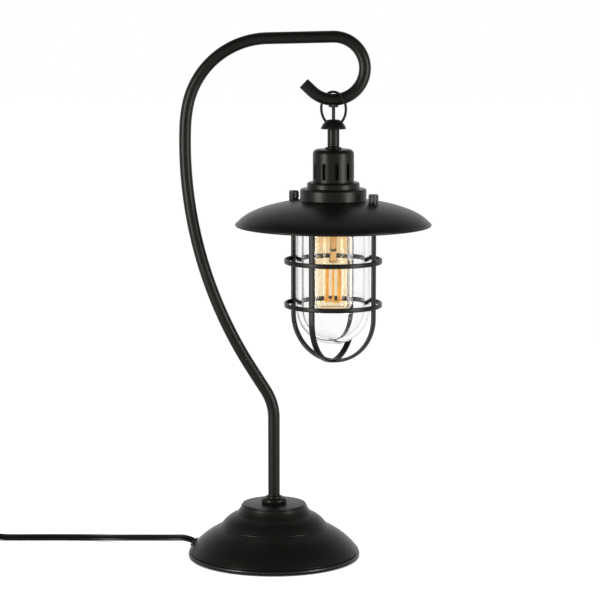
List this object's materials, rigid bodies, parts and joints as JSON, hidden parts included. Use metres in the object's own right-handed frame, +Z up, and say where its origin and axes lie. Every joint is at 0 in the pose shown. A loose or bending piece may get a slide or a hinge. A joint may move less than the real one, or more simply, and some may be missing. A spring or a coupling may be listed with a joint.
{
  "type": "lantern table lamp",
  "caption": "Black table lamp: a stepped round base, a bent tube post ending in a hook, and a caged glass lantern with a wide shade hanging from it by a ring.",
  "frame": {"origin": "on the table, under the middle of the round base (bottom of the felt pad)", "axes": "+Z up; +X from the post towards the lantern; +Y away from the picture's viewer"},
  "size_m": [0.6708, 0.2691, 0.5657],
  "materials": {
    "black_coat": "satin black powder coat on steel",
    "iron": "rough casting",
    "zinc_plate": "zinc plated",
    "brass": "plain",
    "rubber": "matt",
    "cord_jacket": "glossy black twin cord",
    "felt": "felt",
    "black_plastic": "moulded, slightly glossy",
    "clear_glass": "clear",
    "amber_glass": "amber tinted, clear",
    "filament_metal": "glowing wire"
  },
  "bodies": {
    "stand": {"felt_pad": "felt", "base_plate": "zinc_plate", "base_shell": "black_coat", "base_weight": "iron", "weight_washer": "zinc_plate", "weight_nut": "zinc_plate", "base_nipple": "zinc_plate", "post_collar": "black_coat", "post_tube": "black_coat", "hook_grommet": "rubber", "cord_grommet": "rubber", "inner_lead": "cord_jacket", "cord_lead": "cord_jacket", "cord_tail": "cord_jacket", "switch_base": "black_plastic", "switch_cover": "black_plastic", "cord_coil": "cord_jacket", "cord_end": "cord_jacket", "plug_body": "black_plastic", "plug_blade_live": "brass", "plug_blade_neutral": "brass"},
    "ring": {"hang_ring": "black_coat", "cord_drop": "cord_jacket"},
    "lantern": {"hanger_cap": "black_coat", "stem_tube": "black_coat", "stem_washer": "black_coat", "stem_nipple": "zinc_plate", "cup_nut": "zinc_plate", "socket_cup": "black_coat", "socket_body": "black_plastic", "socket_shell": "brass", "socket_contact": "brass", "socket_ring": "black_plastic", "shade": "black_coat", "stud_front": "zinc_plate", "stud_back": "zinc_plate", "hoop_side": "black_coat", "hoop_front": "black_coat", "cage_ring_upper": "black_coat", "cage_ring_lower": "black_coat", "cage_flange": "black_coat", "glass_jar": "clear_glass", "jar_gasket": "rubber"},
    "thumb_nut_front": {"knob_front": "black_coat"},
    "thumb_nut_back": {"knob_back": "black_coat"},
    "bulb": {"bulb_glass": "amber_glass", "bulb_cap": "brass", "bulb_contact": "zinc_plate", "bulb_stem": "clear_glass", "filament_frame": "zinc_plate", "filament": "filament_metal"},
    "rocker": {"switch_rocker": "black_plastic"}
  },
  "joints": [
    {"name": "ring_swing", "type": "hinge", "parent": "stand", "child": "ring", "pos_m": [0.0635, 0, 0.49315], "axis": [1, 0, 0], "range_deg": [-15, 15]},
    {"name": "lantern_tilt", "type": "hinge", "parent": "ring", "child": "lantern", "pos_m": [0.0635, 0, 0.4837], "axis": [0.6947, 0.7193, 0], "range_deg": [-8, 8]},
    {"name": "thumb_nut_front_turn", "type": "hinge", "parent": "lantern", "child": "thumb_nut_front", "pos_m": [0.10542, -0.02276, 0.39], "axis": [0, 0, 1], "continuous": true},
    {"name": "thumb_nut_back_turn", "type": "hinge", "parent": "lantern", "child": "thumb_nut_back", "pos_m": [0.02158, 0.02276, 0.39], "axis": [0, 0, 1], "continuous": true},
    {"name": "bulb_screw", "type": "hinge", "parent": "lantern", "child": "bulb", "pos_m": [0.0635, 0, 0.39], "axis": [0, 0, 1], "continuous": true},
    {"name": "switch_rock", "type": "hinge", "parent": "stand", "child": "rocker", "pos_m": [-0.3652, 0.066, 0.0142], "axis": [0, 1, 0], "range_deg": [-16, 0]}
  ]
}
